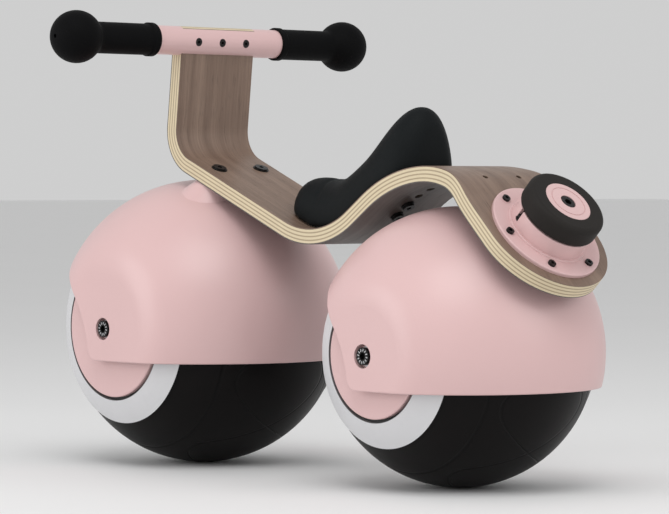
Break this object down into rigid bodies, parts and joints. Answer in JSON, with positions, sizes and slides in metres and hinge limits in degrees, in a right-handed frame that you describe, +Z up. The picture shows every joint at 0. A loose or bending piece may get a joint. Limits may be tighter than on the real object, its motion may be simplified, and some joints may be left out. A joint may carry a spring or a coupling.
{
  "type": "ball ride-on balance bike",
  "caption": "Child balance bike on large balls with pink shrouds, a bent plywood beam frame, a black saddle, a pink bar and a lean-steered rear ball.",
  "frame": {"origin": "on the ground, midway along the whole length and on the middle plane", "axes": "+X forward (towards the handlebar), +Y to the rider's left, +Z up"},
  "size_m": [0.5392, 0.3162, 0.3586],
  "materials": {
    "ply": "laminated ply edge, satin oil",
    "walnut": "walnut face veneer, satin oil, grain along the strip",
    "dark_veneer": "dark stained face veneer, matt",
    "steel": "bright steel",
    "zinc": "zinc plated",
    "black_screw": "black oxide, satin",
    "rubber": "smooth black rubber",
    "grip": "soft black rubber, matt",
    "pink": "dusty pink moulded plastic, fine satin texture",
    "pink_paint": "dusty pink powder coat, satin",
    "white": "pale grey moulded plastic",
    "black_plastic": "black moulded plastic",
    "saddle": "blue-black moulded foam skin, matt"
  },
  "bodies": {
    "frame": {"beam_bottom_veneer": "dark_veneer", "beam_core": "ply", "beam_top_veneer": "walnut", "frame_bolts": "zinc", "frame_washers": "zinc", "front_axle": "steel", "front_axle_bolts": "black_screw", "front_axle_spacers": "zinc", "front_axle_washers": "zinc", "front_bearing_inner_rings": "steel", "front_shroud": "pink", "front_shroud_inserts": "zinc", "handlebar_barrel_nuts": "zinc", "handlebar_screws": "black_screw", "handlebar_tube": "pink_paint", "housing_clamp_ring": "black_plastic", "housing_screws": "black_screw", "left_grip": "grip", "lower_steering_bush": "black_plastic", "right_grip": "grip", "saddle": "saddle", "saddle_base": "black_plastic", "saddle_bolts": "black_screw", "saddle_inserts": "zinc", "saddle_washers": "black_screw", "steering_housing": "pink", "upper_steering_bush": "black_plastic"},
    "front_ball": {"front_bearing_outer_rings": "steel", "front_half_ball_left": "white", "front_half_ball_right": "white", "front_half_ball_screws": "black_screw", "front_hub_disc_left": "pink", "front_hub_disc_right": "pink", "front_tyre": "rubber"},
    "rear_swivel": {"rear_shroud": "pink", "steering_spindle": "steel", "spindle_screws": "black_screw", "thrust_washer": "black_plastic", "steering_stop_pin": "steel", "knob_hub": "pink", "knob_tyre": "rubber", "knob_washer": "black_screw", "knob_bolt": "black_screw", "rear_axle": "steel", "rear_axle_bolts": "black_screw", "rear_axle_washers": "zinc", "rear_axle_spacers": "zinc", "rear_bearing_inner_rings": "steel"},
    "rear_ball": {"rear_bearing_outer_rings": "steel", "rear_half_ball_left": "white", "rear_half_ball_right": "white", "rear_half_ball_screws": "black_screw", "rear_hub_disc_left": "pink", "rear_hub_disc_right": "pink", "rear_tyre": "rubber"},
    "lock": {"steering_lock_key": "black_plastic"}
  },
  "joints": [
    {"name": "front_ball_spin", "type": "hinge", "parent": "frame", "child": "front_ball", "pos_m": [0.15963, 0, 0.11], "axis": [0, 1, 0], "continuous": true},
    {"name": "rear_steer", "type": "hinge", "parent": "frame", "child": "rear_swivel", "pos_m": [-0.13837, 0, 0.1], "axis": [-0.7071, 0, 0.7071], "range_deg": [-20, 20]},
    {"name": "rear_ball_spin", "type": "hinge", "parent": "rear_swivel", "child": "rear_ball", "pos_m": [-0.13837, 0, 0.1], "axis": [0, 1, 0], "continuous": true},
    {"name": "lock_slide", "type": "slide", "parent": "frame", "child": "lock", "axis": [-0.7071, 0, 0.7071], "range_m": [0, 0.0045]}
  ]
}
